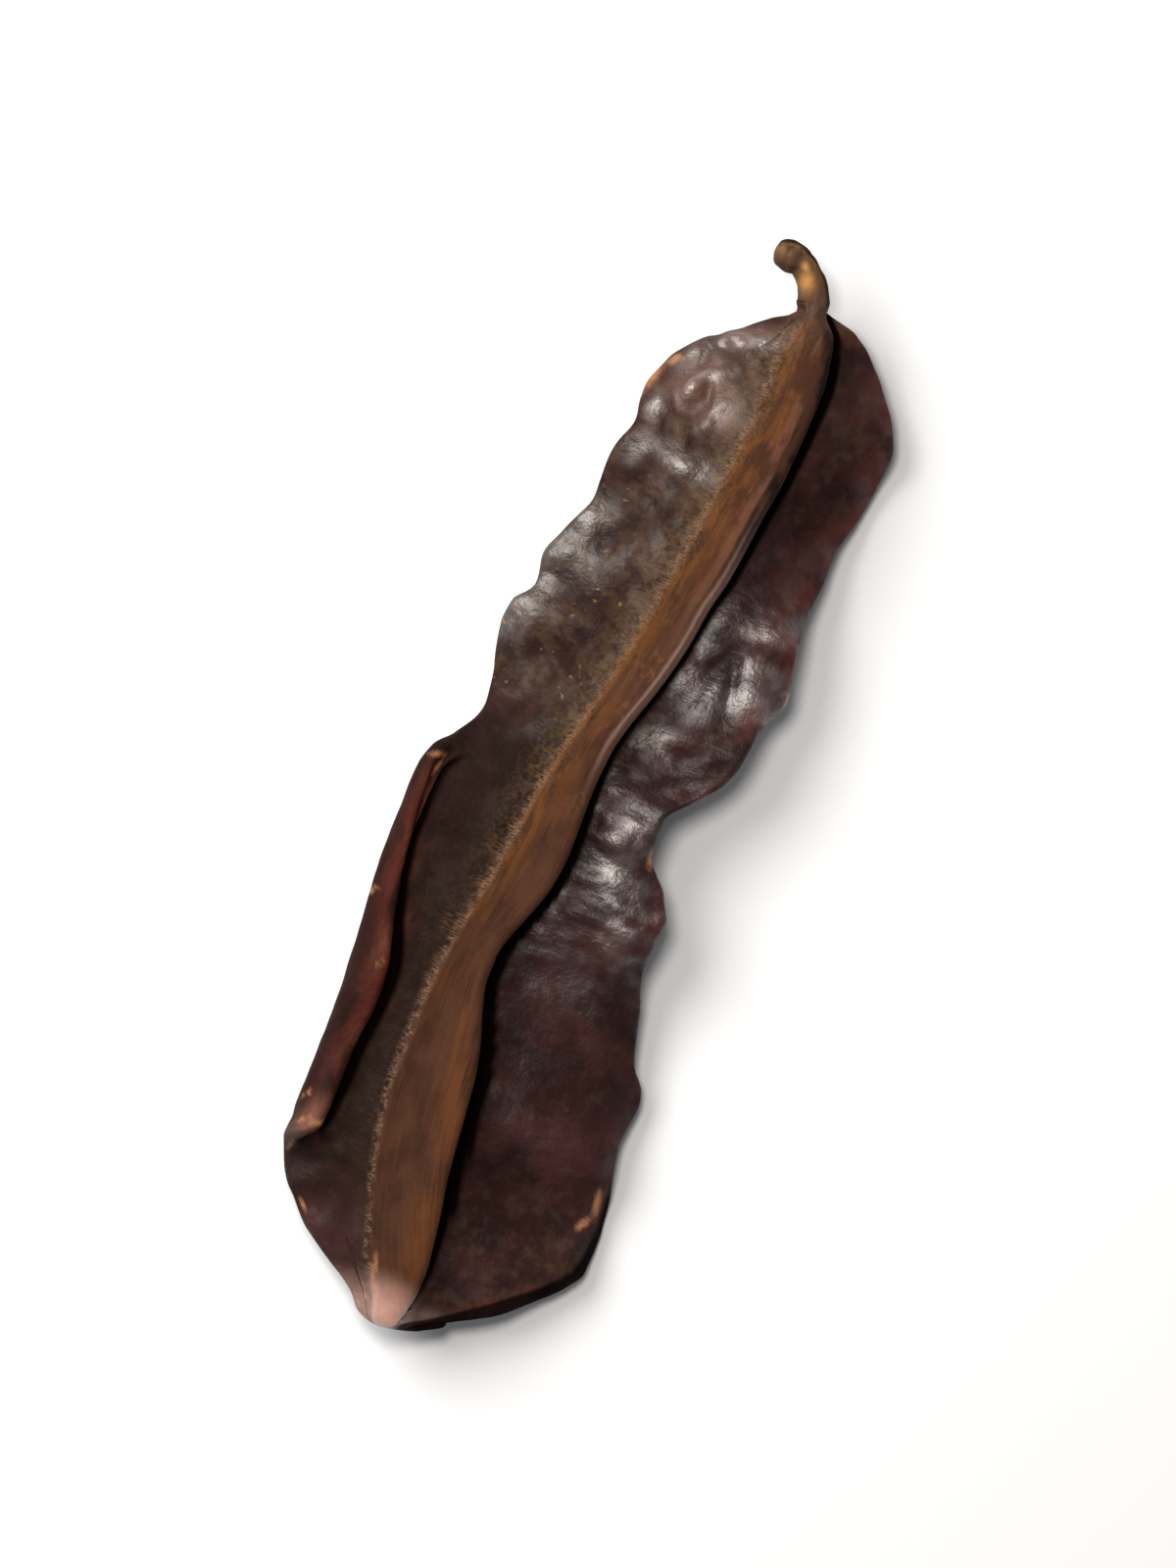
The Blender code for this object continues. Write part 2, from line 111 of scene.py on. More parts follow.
def curve(points, at):
    """Value at a place on a smooth curve through (place, value) points that never swings past them."""
    x, y = np.array(points, float).T
    rise = np.diff(y) / np.diff(x)
    slope = np.r_[rise[0], np.zeros(len(x) - 2), rise[-1]]
    level = rise[:-1] * rise[1:] <= 0
    total = np.where(level, 1, rise[:-1] + rise[1:])
    slope[1:-1] = np.where(level, 0, 2 * rise[:-1] * rise[1:] / total)
    i = np.clip(np.searchsorted(x, at) - 1, 0, len(x) - 2)
    gap = x[i + 1] - x[i]
    t = np.clip((at - x[i]) / gap, 0, 1)
    return (y[i] * (1 + 2 * t) * (1 - t) ** 2 + y[i + 1] * t * t * (3 - 2 * t)
            + gap * t * (1 - t) * (slope[i] * (1 - t) - slope[i + 1] * t))


def ease(low, high, at):
    """Smooth rise from 0 at low to 1 at high."""
    t = np.clip((at - low) / (high - low), 0, 1)
    return t * t * (3 - 2 * t)


def bow(start, heading, length, swing, t):
    """Points and headings at fractions t of arcs that leave start at a heading and turn by two swings."""
    facing = heading + swing * t
    along = length * t * np.sinc(swing * t / pi)
    points = start + along[..., None] * np.stack((np.cos(facing), np.sin(facing)), axis=-1)
    return points, facing + swing * t


def wing(core, knee, heading, strip, turn, sizes, columns):
    """One wing's loop of points in each section: out along a face, round the rim, back along the other."""
    chord = knee - core
    swing = (np.arctan2(chord[..., 1], chord[..., 0]) - heading + pi) % (2 * pi) - pi
    length = np.hypot(chord[..., 0], chord[..., 1]) / np.sinc(swing / pi)
    size = np.minimum(1, (length + strip) / SHORT)
    free = FREE * size / length
    inner = free + (1 - free) * np.linspace(0, 1, columns)
    points, facing = bow(core, heading, length, swing, inner)
    way = inner * length
    if np.any(strip > 0):
        outer = np.linspace(0, 1, STRIP_COLUMNS + 1)[None, 1:]
        more, ends = bow(points[:, -1:], facing[:, -1:], strip, -turn / 2, outer)
        points = np.concatenate((points, more), axis=1)
        facing = np.concatenate((facing, ends), axis=1)
        way = np.concatenate((way, length + outer * strip), axis=1)
    share = way / (length + strip)
    root, middle, rim = sizes
    half = size * (middle + (root - middle) * (1 - share) ** 3 + (rim - middle) * share ** 4)
    out = np.stack((np.cos(facing), np.sin(facing)), axis=-1)
    aside = np.stack((-np.sin(facing), np.cos(facing)), axis=-1)
    face = points - half[..., None] * aside
    back = (points + half[..., None] * aside)[:, ::-1]
    bend = ((np.arange(RIM_COLUMNS) + 1) * pi / (RIM_COLUMNS + 1) - pi / 2)[None, :, None]
    round_way = np.cos(bend) * out[:, -1:] + np.sin(bend) * aside[:, -1:]
    round_rim = points[:, -1:] + half[:, -1:, None] * round_way
    return np.concatenate((face, round_rim, back), axis=1), out[:, :1]


def soft_spot(x, y, long, wide, heading):
    """Strength of a soft oval spot at a place measured from its middle."""
    c, s = cos(radians(heading)), sin(radians(heading))
    return np.exp(-(2 * (x * c + y * s) / long) ** 2 - (2 * (y * c - x * s) / wide) ** 2)


def relief(x, y, spine):
    """Height of the side wings' waves, dents and swellings."""
    away = np.abs(x - spine)
    place = y + np.where(x < spine, LEFT_WAVE_SHIFT, 0)
    height = sum(tall * np.cos(2 * pi * (place - crest) / long) for long, tall, crest in WAVES)
    height = height * np.clip(away / WAVE_REACH, 0, 1) ** WAVE_GROWTH
    for centre_x, centre_y, long, wide, heading, tall in SWELLINGS:
        height = height + tall * soft_spot(x - centre_x, y - centre_y, long, wide, heading)
    return height * ease(FREE * RELIEF_SHARES[0], FREE * RELIEF_SHARES[1], away)


def side_wing(y, core, margin, height, turns, strips, sign):
    """A side wing, its outermost point fitted to its margin. The sign is 1 on the right, -1 on the left."""
    margin = sign * curve(margin, y)
    strip = np.minimum(curve(strips, y), STRIP_SHARE * (margin - sign * core[..., 0]))
    turn = np.radians(curve(turns, y))
    knee = np.stack((sign * (margin - strip), curve(height, y)), axis=-1)
    for _ in range(FITTING_ROUNDS):
        chord = knee - core
        heading = np.arctan2(chord[..., 1], chord[..., 0]) + sign * ARCH
        loop, facing = wing(core, knee, heading, strip, turn, SIDE_WING, SIDE_COLUMNS)
        over = (sign * loop[..., 0]).max(axis=1, keepdims=True) - margin
        knee = knee - sign * np.stack((over, 0 * over), axis=-1)
    loop[..., 1] += relief(loop[..., 0], y, core[..., 0])
    return loop, facing


# The front and back wings
# Two thinner woody wings. The front one stands up and leans to the right over the right wing, and the pod
# lies on the back one, whose edge is worn flat where it touches the table.
FRONT_CREST = (
    (-2, 0.4), (1.8, 0.9), (4, 1.4), (8, 1.8), (12, 1.6), (16, 0.9), (22, -0.1), (28, -1.3), (40, -2.8),
    (46, -3.6), (52, -5), (58, -7.1), (63, -8.2), (67, -8.2), (71, -7.3), (76, -5.6), (82, -3.9),
    (88, -3.4), (100, -3.7), (107, -3.3), (112, -2.3), (118, -0.5), (124, 1), (130, 2.1), (136, 2.8),
    (142, 4), (148, 4.7), (154, 5.3), (162, 6.3), (178, 6.9), (184, 6.2), (189, 4.9), (191, 3.7),
    (192.4, 2.3),
)
BACK_CREST = (
    (-2, -2), (2, 4.2), (4, 6.8), (5.5, 6.4), (9, 0), (15, -10), (24, -18.5), (44, -23.5), (62, -20.5),
    (80, -19), (98, -16.5), (114, -11.5), (132, -11), (150, -8.8), (168, -6.6), (182, -5), (192, -3.6),
)
FRONT_HEIGHT = (
    (-2, 1.8), (3, 3.4), (8, 5.6), (14, 8), (28, 10.2), (45, 10.8), (62, 12.6), (75, 12), (90, 11.6),
    (106, 12.6), (130, 12.4), (155, 11.4), (172, 9), (184, 6), (192, 3),
)
BACK_HEIGHT = (
    (-2, -2.6), (4, -5.2), (14, -10.4), (26, -13.2), (44, -14.2), (60, -13.7), (78, -13.3), (96, -13.2),
    (118, -13.5), (138, -14.1), (156, -13.2), (172, -10.2), (184, -6), (192, -3),
)
RIDGE_WING = (3.0, 1.15, 1.3)
FRONT_START, BACK_START = radians(98), radians(268)
RIDGE_COLUMNS = 22


def ridge_wing(y, core, crest, height, start, inset):
    """The front or the back wing, which leaves the core at one heading all along."""
    tip = np.stack((curve(crest, y) - inset, curve(height, y)), axis=-1)
    none = np.zeros_like(y)
    return wing(core, tip, start + none, none, none, RIDGE_WING, RIDGE_COLUMNS)


# The core and the ends
# The seed-bearing core bends with the pod. The four wings meet round it in rounded valleys, close over the
# blunt apex, and run into the stalk's round section at the shoulder.
SPINE = (
    (0, -4), (8, -5.9), (20, -10), (30, -12.8), (42, -14.6), (56, -14.8), (68, -13.7), (82, -11.8),
    (96, -10.2), (108, -8), (122, -5.2), (138, -3.2), (156, -1.4), (172, -0.3), (184, -0.4), (192.4, -0.9),
)
APEX, SHOULDER, NOSE = -0.3, 192.4, 1.7
NOSE_MIDDLE = (-3.2, 0.0)
SIDE_ROUNDING, RIDGE_ROUNDING = 1.8, 4.5  # over these lengths the wings turn into the stalk
WING_ARCS = (
    (-80, -45, -12), (-12, 14, 125), (125, 170, 215), (215, 250, 280),
)  # where each wing starts, has its rim and ends on the stalk's round section, in degrees
FILLET_HANDLE = 0.5  # of the gap between two wings
VALLEY_COLUMNS = 5
NOSE_ROWS, BODY_ROWS = 8, 268
SPACING_STEPS = 800
ROW_DENSITY = (
    (0, 2), (10, 1.3), (17, 1), (25, 1.7), (32, 1), (60, 0.8), (90, 1), (97, 1.8), (104, 1), (150, 0.8),
    (174, 1), (188, 2), (192.4, 2.6),
)


def valley(last, leaving, first, arriving):
    """Points round the fillet between two wings."""
    t = ((np.arange(VALLEY_COLUMNS) + 1) / (VALLEY_COLUMNS + 1))[None, :, None]
    handle = FILLET_HANDLE * np.linalg.norm(first - last, axis=-1, keepdims=True)
    return (last * (1 - t) ** 3 + 3 * (last - handle * leaving) * t * (1 - t) ** 2
            + 3 * (first - handle * arriving) * t * t * (1 - t) + first * t ** 3)


def body_sections():
    """Rows of points from the rounded apex to the stalk's foot, and each point's angle in a round section."""
    nose = pi / 2 * (np.arange(NOSE_ROWS) + 1) / (NOSE_ROWS + 1)
    fine = np.linspace(APEX + NOSE, SHOULDER, SPACING_STEPS)
    count = np.cumsum(curve(ROW_DENSITY, fine))
    share = (count - count[0]) / (count[-1] - count[0])
    y = np.r_[APEX + NOSE * (1 - np.cos(nose)), np.interp(np.arange(BODY_ROWS) / BODY_ROWS, share, fine)]
    y = y[:, None]
    core = np.stack((curve(SPINE, y), 0 * y), axis=-1)
    wings = (
        side_wing(y, core, RIGHT_MARGIN, RIGHT_HEIGHT, RIGHT_TURN, RIGHT_STRIP, 1),
        ridge_wing(y, core, FRONT_CREST, FRONT_HEIGHT, FRONT_START, RIDGE_WING[2]),
        side_wing(y, core, LEFT_MARGIN, LEFT_HEIGHT, LEFT_TURN, LEFT_STRIP, -1),
        ridge_wing(y, core, BACK_CREST, BACK_HEIGHT, BACK_START, 0),
    )
    loop, angles, rounding = [], [], []
    for k, (points, facing) in enumerate(wings):
        following, next_facing = wings[(k + 1) % 4]
        loop += [points, valley(points[:, -1:], facing, following[:, :1], next_facing)]
        count = points.shape[1] + VALLEY_COLUMNS
        stops = (0, points.shape[1] / 2, count)
        angles.append(np.radians(np.interp(np.arange(count) + 0.5, stops, WING_ARCS[k])))
        own, other = (SIDE_ROUNDING, RIDGE_ROUNDING) if k % 2 == 0 else (RIDGE_ROUNDING, SIDE_ROUNDING)
        across_valley = np.linspace(own, other, VALLEY_COLUMNS + 2)[1:-1]
        rounding.append(np.r_[np.full(points.shape[1], own), across_valley])
    points, angles = np.concatenate(loop, axis=1), np.concatenate(angles)
    shrink = np.r_[np.sin(nose), np.ones(BODY_ROWS)][:, None, None]
    points = NOSE_MIDDLE + (points - NOSE_MIDDLE) * shrink
    ring = STALK_RADIUS[0][1] * np.stack((np.cos(angles), np.sin(angles)), axis=-1) + (SPINE[-1][1], 0)
    turned = ease(SHOULDER - np.concatenate(rounding), SHOULDER, y)[..., None]
    points = points * (1 - turned) + ring * turned
    return np.stack((points[..., 0], y + 0 * points[..., 0], points[..., 1]), axis=-1), angles


# The stalk
# The stub of the woody stalk the pod hung by, grown out of its shoulder. It bends over to the left and ends
# in a small swollen knob.
STALK_HEADING = (
    (0, 14), (1.6, 28), (3.6, 36), (5.4, 48), (7.2, 66), (9, 84), (10.8, 94),
)  # distance along it, and how many degrees it leans left
STALK_RADIUS = ((0, 2.9), (2.5, 2.7), (5.2, 2.4), (6.8, 2.35), (9, 2.85), (10.8, 2.6))
STALK_SLOPE = 0.1
STALK_END_BULGE = 0.7
STALK_ROWS, END_ROWS = 26, 6
PATH_STEPS = 200


def stalk_sections(angles):
    """Rings of points along the bent stalk and over its blunt end, and the end's middle."""
    length = STALK_HEADING[-1][0]
    step = np.linspace(0, length, PATH_STEPS)
    bend = np.radians(curve(STALK_HEADING, step))
    path = np.stack((-np.sin(bend), np.cos(bend), np.full_like(bend, STALK_SLOPE)), axis=-1)
    path = np.cumsum(path, axis=0) * (step[1] - step[0])
    end = pi / 2 * (np.arange(END_ROWS) + 1) / (END_ROWS + 1)
    way = np.r_[np.linspace(0, length, STALK_ROWS), np.full(END_ROWS, length)]
    past = STALK_END_BULGE * STALK_RADIUS[-1][1] * np.r_[np.zeros(STALK_ROWS), np.sin(end)]
    heading = np.radians(curve(STALK_HEADING, way))
    radius = curve(STALK_RADIUS, way) * np.r_[np.ones(STALK_ROWS), np.cos(end)]
    forward = np.stack((-np.sin(heading), np.cos(heading), 0 * heading), axis=-1)
    sideways = np.stack((np.cos(heading), np.sin(heading), 0 * heading), axis=-1)
    foot = np.array((SPINE[-1][1], SHOULDER, 0))
    centre = foot + np.stack([np.interp(way, step, path[:, k]) for k in range(3)], axis=-1)
    tip = centre[STALK_ROWS - 1] + forward[-1] * STALK_END_BULGE * STALK_RADIUS[-1][1]
    centre = centre + forward * past[:, None]
    upward = np.array((0, 0, 1))
    ring = sideways[:, None] * np.cos(angles)[None, :, None] + upward * np.sin(angles)[None, :, None]
    return centre[:, None] + radius[:, None, None] * ring, tip


body, angles = body_sections()
stalk, stalk_tip = stalk_sections(angles)
skin = np.concatenate((body, stalk))
rows, columns = skin.shape[:2]

# Wrinkles and fibres
# Drying puckered the husk: puffed folds beside the front wing, a crumpled left shoulder, close folds across
# the narrow part of the right wing, a beaded edge on the front wing and fine ribs beside the creases.
around = np.linalg.norm(np.roll(skin, -1, axis=1) - skin, axis=2)
girth = np.cumsum(around, axis=1) - around
whole = around.sum(axis=1, keepdims=True)


def skin_distance(places):
    """Distance over the skin, within its section, to the nearest of some columns."""
    apart = [np.abs(girth - girth[:, place, None]) for place in places]
    return np.min([np.minimum(d, whole - d) for d in apart], axis=0)


rims, creases, wing_of = [], [], []
for k, face in enumerate((SIDE_COLUMNS + STRIP_COLUMNS, RIDGE_COLUMNS) * 2):
    rims.append(len(wing_of) + face + RIM_COLUMNS // 2)
    wing_of += [k] * (2 * face + RIM_COLUMNS)
    creases.append(len(wing_of) + VALLEY_COLUMNS // 2)
    wing_of += [k + 0.5] * VALLEY_COLUMNS
wing_of = np.array(wing_of)
number = np.arange(columns)
from_crease = skin_distance(creases)
from_rim = skin_distance(rims)
x, y = skin[..., 0], skin[..., 1]
on_body = np.ones((rows, 1))
on_body[len(body):] = 0
sides = (wing_of % 2 == 0) * on_body
ridges = (wing_of % 2 == 1) * on_body
right_top = ((number > rims[0]) & (number < creases[0])) * on_body
front_face = ((number > rims[1]) & (number < creases[1])) * on_body
NOISE_GAIN = 1.6
CREASE_SOFTNESS, PUFF_LEVEL = 0.16, 0.4


def grain(size, shift=0.0, drawn=(1, 1, 1)):
    """Soft noise over the skin, from about -1 to 1, with lumps of a size in millimetres, drawn out or not."""
    spots = (skin / (np.array(drawn) * size) + shift).reshape(-1, 3).tolist()
    return NOISE_GAIN * np.array([noise.noise(spot) for spot in spots]).reshape(rows, columns)


def puffs(size, shift=0.0):
    """Rounded swellings with creases between them, about level on the whole."""
    return np.hypot(grain(size, shift), CREASE_SOFTNESS) - PUFF_LEVEL


KNOBS = (
    (-14.9, 170.2, 4.5, 2.6, 100, 1), (-8.4, 179.5, 3, 2.4, 60, 0.7), (-10.3, 165, 3.4, 2.8, 30, 0.7),
    (-7, 182.8, 5, 1.8, 20, 0.6), (-16.2, 177.4, 3, 2.2, 60, 0.6), (-18.7, 167, 6, 4, 70, 0.6),
    (-12, 171.5, 6, 1.8, 100, -0.9), (-12.7, 180.1, 4, 2.4, 150, -0.9), (-16.5, 171, 6, 1.6, 100, -0.6),
)  # small swellings of the left shoulder: x, y, length, width, heading in degrees and height
RIGHT_CRUMPLE = (
    (0, 0.1), (60, 0.12), (74, 0.3), (100, 0.7), (112, 1), (132, 1), (145, 0.35), (170, 0.2), (192, 0.3),
)
LEFT_CRUMPLE = (
    (0, 0.45), (25, 0.5), (35, 0.1), (98, 0.12), (112, 0.6), (150, 0.8), (163, 1.3), (182, 1.3), (192, 0.5),
)
crumple = np.where(x > curve(SPINE, y), curve(RIGHT_CRUMPLE, y), curve(LEFT_CRUMPLE, y))
clear = ease(1.5, 7, from_crease) * (0.4 + 0.6 * ease(0, 3.5, from_rim))
crumpling = clear * crumple * (1.3 * puffs(10) + 0.2 * grain(4.2, 7.7) + 0.07 * grain(2, 6.1))
knobbly = (x < curve(SPINE, y)) * ease(160, 168, y) * (1 - ease(183, 189, y)) * clear * ease(1, 5, from_rim)
crumpling = crumpling + 1.3 * knobbly * puffs(5.5, 3.3)
for centre_x, centre_y, long, wide, heading, tall in KNOBS:
    crumpling = crumpling + tall * soft_spot(x - centre_x, y - centre_y, long, wide, heading)
softness = 0.22 * grain(13, 2.2) + 0.05 * grain(2.6, 3.3)
FOLD_SPACING, RIB_SPACING = 4.0, 1.35
fold_place = (y + 0.06 * x + 1.2 * grain(9, 5.1)) / FOLD_SPACING
folds = np.sin(2 * pi * fold_place) * (0.6 + 0.5 * grain(5, 9.2)) * right_top
folds = folds * ease(62, 76, y) * (1 - ease(98, 112, y)) * ease(1, 5, from_crease)
ribs = np.sin(2 * pi * (y + 0.5 * grain(4, 2.6)) / RIB_SPACING) * (0.5 + 0.7 * grain(3, 6.4))
ribs = ribs * (1 - ease(1.2, 5, from_crease)) * ease(8, 20, y) * (1 - ease(176, 188, y)) * on_body
BEAD_PLACE, GROOVE_PLACE, BEAD_WIDTH = 1.0, 2.8, 0.8  # from the front wing's edge
beaded = ease(88, 108, y) * (1 - ease(178, 188, y)) * front_face
bead = np.exp(-((from_rim - BEAD_PLACE) / BEAD_WIDTH) ** 2)
bead = bead - 0.9 * np.exp(-((from_rim - GROOVE_PLACE) / BEAD_WIDTH) ** 2)
lengthwise = 0.22 * grain(3.2, 4.4, (1, 9, 1)) * ease(1.5, 4, from_rim)
raised = sides * (crumpling + softness)
carving = raised + 0.17 * folds + 0.08 * ribs + 0.3 * bead * beaded + ridges * lengthwise
woody = 0.16 * grain(1.8, 1.2, (1, 3.5, 1)) + 0.07 * grain(0.9, 5.5)
woody = woody * (1 - on_body) * ease(SHOULDER, SHOULDER + 2.5, y + 0.6 * np.abs(x + 1))
across_rows = np.gradient(skin, axis=0)
across_columns = np.roll(skin, -1, axis=1) - np.roll(skin, 1, axis=1)
normal = np.cross(across_rows, across_columns)
normal /= np.maximum(np.linalg.norm(normal, axis=2, keepdims=True), 1e-9)
carved = skin + normal * (carving * ease(0.5, 5, y) + woody)[..., None]

# The skin
# The dried husk is one closed skin round the whole pod, from the blunt apex to the stalk's end. It is set in
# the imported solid's box, and its points keep what the finish asks for.
CORE_ABOVE_TABLE = 15.094
near_corner = np.array(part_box("aridan_pod")[0]) / MM
leftmost = min(across for _, across in LEFT_MARGIN)
place = np.array((near_corner[0] - leftmost, near_corner[1] - APEX, CORE_ABOVE_TABLE))
nose_tip = np.array((NOSE_MIDDLE[0], APEX, NOSE_MIDDLE[1]))
points = np.concatenate((carved.reshape(-1, 3), (nose_tip, stalk_tip))) + place
points[:, 2] = np.maximum(points[:, 2], 0)

row, column = np.meshgrid(np.arange(rows - 1), number, indexing="ij")
start = (row * columns + column).ravel()
after = (row * columns + (column + 1) % columns).ravel()
quads = np.stack((start, start + columns, after + columns, after), axis=1).tolist()
last_ring = (rows - 1) * columns
fans = [(rows * columns, j, (j + 1) % columns) for j in range(columns)]
fans += [(rows * columns + 1, last_ring + (j + 1) % columns, last_ring + j) for j in range(columns)]
mesh = bpy.data.meshes.new("pod_skin")
mesh.from_pydata((points * MM).tolist(), [], quads + fans)
mesh.shade_smooth()

# The skin unrolled flat: round the section from left to right, along the pod from bottom to top
END_ROOM = 2.0  # left for the closed ends
run = np.linalg.norm(np.diff(skin.mean(axis=1), axis=0), axis=1)
up = np.r_[0, np.cumsum(run)] + END_ROOM
up_whole = up[-1] + 2 * END_ROOM
round_share = np.r_[0, np.cumsum(around.mean(axis=0))]
round_share /= round_share[-1]
unrolled = mesh.uv_layers.new(name="OFBake")
left_u, right_u = round_share[column.ravel()], round_share[column.ravel() + 1]
low_v, high_v = up[row.ravel()] / up_whole, up[row.ravel() + 1] / up_whole
quad_uv = np.stack((left_u, low_v, left_u, high_v, right_u, high_v, right_u, low_v), axis=1)
fan_uv = []
for j in range(columns):
    middle = (round_share[j] + round_share[j + 1]) / 2
    fan_uv += [middle, 0, round_share[j], up[0] / up_whole, round_share[j + 1], up[0] / up_whole]
for j in range(columns):
    middle = (round_share[j] + round_share[j + 1]) / 2
    fan_uv += [middle, 1, round_share[j + 1], up[-1] / up_whole, round_share[j], up[-1] / up_whole]
unrolled.data.foreach_set("uv", np.r_[quad_uv.ravel(), fan_uv].astype(np.float32))


def keep(name, values):
    """Stores a value for each point of the skin, for the finish to read."""
    store = mesh.attributes.new(name, "FLOAT", "POINT")
    values = np.broadcast_to(values, (rows, columns)).ravel()
    store.data.foreach_set("value", np.r_[values, values[0], values[-1]].astype(np.float32))


def touched(spots):
    """How strongly each point belongs to some soft spots, each an x, y, length, width and heading."""
    strength = np.zeros((rows, columns))
    for centre_x, centre_y, long, wide, heading in spots:
        strength = np.maximum(strength, soft_spot(x - centre_x, y - centre_y, long, wide, heading))
    return strength * ease(-0.2, 0.3, normal[..., 2])


WORN_SPOTS = (
    (-21.8, 170.3, 9, 2.4, 78), (-19.5, 174.5, 5, 1.8, 40), (10.1, 92.5, 4, 1.4, 95),
    (24.3, 33.5, 6, 1.5, 100), (23.4, 29.5, 4, 1.6, 60), (-31.2, 95.2, 3.6, 1.5, 20),
    (-30.4, 93, 4, 0.9, 80), (-32.6, 69.3, 3, 1.3, 50), (-26.4, 58, 2.4, 1.3, 60), (-26, 28.4, 4, 1.8, 30),
    (-28.6, 28.2, 4, 1, 50), (-29.4, 32.6, 4, 0.8, 60), (-28.9, 22.9, 3, 1, 80),
    (-22.9, 13.9, 3.4, 1, -45), (-7.3, 9, 7, 1.3, -75), (-5.8, 5.6, 4, 1.5, -50),
)  # the narrow places rubbed down to the pale inner husk, each as x, y, length, width and heading
RUDDY_SPOTS = (
    (-14, 172, 13, 10, 60), (-9, 169, 8, 8, 0), (-8.6, 183, 12, 4, 22), (4, 4.5, 5, 3, 20),
    (-27.6, 28.4, 8, 4, 60),
)  # where the husk is paler and pinker: x, y, length, width and heading
FLUSHED_SPOTS = (
    (-26.8, 62, 12, 4.4, 80), (-29.2, 79, 15, 2.8, 100), (-30.6, 89, 11, 2.6, 98), (-24.4, 47, 12, 3, 75),
    (13, 9.4, 11, 2.6, 32), (18.4, 14.4, 6, 2, 45), (-27.4, 30, 8, 4, 60),
)  # where the margins are redder, on the rolled margin's top partly a painted highlight: x, y, length, width and heading
STALK_PATCHES = (
    (-3.3, 195.4, 3.6, 2.6, 110), (-4.6, 197.6, 2.2, 1.4, 140),
)  # where the stalk's bark is worn to the tan wood: x, y, length, width and heading
upper_strip = np.zeros(columns)
upper_strip[rims[2] - STRIP_COLUMNS - 2:rims[2] + STRIP_COLUMNS + 3] = 1
GLOW_MIDDLE = (
    (0, 5), (20, 3), (60, 3.4), (75, 6), (100, 6.2), (120, 6), (160, 6.5), (185, 5),
)  # how far from its edge the front wing is most orange
GLOW_WIDTH = 2.8
GLOW_SHARE = ((0, 0.8), (45, 0.8), (60, 0.35), (78, 0.15), (98, 0.4), (116, 1), (150, 0.9), (192, 0.6))
FRONT_SHADE = (
    (4, 0.4), (16, 1.4), (28, 2.9), (64, 3), (76, 2.6), (94, 2.1), (130, 1.7), (155, 2), (178, 2), (192, 1.6),
)  # how far the band of painted shade reaches past the front wing's edge
LIP_SHADE = (
    (24, 1), (34, 1.7), (50, 2.2), (60, 2.5), (66, 2), (72, 1.5), (96, 0.9),
)  # and past the rolled margin's
far_left = x.min()
front_edge = np.where(front_face > 0, x, far_left).max(axis=1, keepdims=True)
lip_edge = np.where(upper_strip > 0, x, far_left).max(axis=1, keepdims=True)
left_top = ((number > creases[1]) & (number < rims[2] - STRIP_COLUMNS)) * on_body
# Painted shade: bands past the front wing and the rolled margin, the tucked margin, the stalk's side and the
# back tip.
front_shade = front_edge + curve(FRONT_SHADE, y)
shade_under_front = right_top * (1 - ease(front_shade - 0.3, front_shade + 0.5, x)) * ease(4, 14, y)
lip_shade = lip_edge + curve(LIP_SHADE, y)
shade_under_lip = left_top * (1 - ease(lip_shade - 0.6, lip_shade + 0.6, x))
shade_under_lip = shade_under_lip * ease(25, 29, y) * (1 - ease(95, 98, y))
right_strip = (np.abs(number - rims[0]) < STRIP_COLUMNS + 3) * on_body
TUCKED_WIDTH = (
    (0, 1.4), (4, 2.6), (9, 4.4), (13, 3.9), (20, 2.4), (28, 1.4), (38, 0.5),
)  # of the right margin's part that is tucked under, out of the light, where shade is painted
tucked_start = curve(RIGHT_MARGIN, y) - curve(TUCKED_WIDTH, y)
tucked_shade = right_strip * ease(tucked_start - 0.3, tucked_start + 0.5, x) * (1 - ease(34, 42, y)) * 0.88
stalk_side_shade = (1 - on_body) * ease(cos(radians(50)), cos(radians(22)), np.cos(angles)) * 0.8
back_tip_shade = (wing_of == 3) * (1 - ease(6, 14, y)) * 0.9
# The mask of painted shade, which turns these places almost black in the finish.
keep("painted_shade", np.max([shade_under_front, shade_under_lip, tucked_shade, stalk_side_shade, back_tip_shade], axis=0))
RIGHT_SHEEN = ((0, 0.1), (60, 0.12), (68, 0.5), (76, 1), (132, 1), (142, 0.4), (160, 0.12), (192, 0.2))
LEFT_SHEEN = ((0, 0.12), (14, 0.08), (30, 0.03), (60, 0.02), (100, 0.03), (112, 0.12), (185, 0.16), (192, 0))
GLOSSY_SPOTS = (
    (-24.4, 137, 14, 9, 70), (-22.3, 143, 9, 6, 60), (-27.4, 123, 9, 6, 80), (-25.4, 130, 7, 4, 75),
    (-11.5, 158.2, 12, 4.4, 175), (-19.6, 158, 5, 4, 70), (-9, 168.8, 5, 4, 60), (-14.9, 170.2, 4, 3, 100),
    (-14, 174, 8, 3, 20), (-18.7, 166, 5, 3, 70), (-7.6, 182, 8, 3, 20), (-13, 179.6, 5, 2.6, 30),
    (-16.6, 177.4, 5, 4, 60), (-2, 2, 6, 8, 100), (4, 88, 12, 9, 100), (5, 98, 8, 8, 100),
    (7.4, 121.5, 10, 8, 60), (16, 125, 9, 7, 75), (0, 71, 8, 2, 5), (1, 75, 8, 2, 5), (3, 113, 8, 3, 20),
)  # where the wings were rubbed shiny: x, y, length, width and heading
keep("sheen", np.where(x > curve(SPINE, y), curve(RIGHT_SHEEN, y), curve(LEFT_SHEEN, y)))
keep("glossy", touched(GLOSSY_SPOTS))
ridge_share = (wing_of % 2 == 1).astype(float)
half_valley = VALLEY_COLUMNS // 2
crossing = ease(-1.5, 1.5, np.arange(VALLEY_COLUMNS) - half_valley)
for k, crease in enumerate(creases):
    ridge_share[crease - half_valley:crease + half_valley + 1] = crossing if k % 2 == 0 else 1 - crossing
keep("ridge", ridge_share * on_body * (1 - ease(186, 192.4, y)))
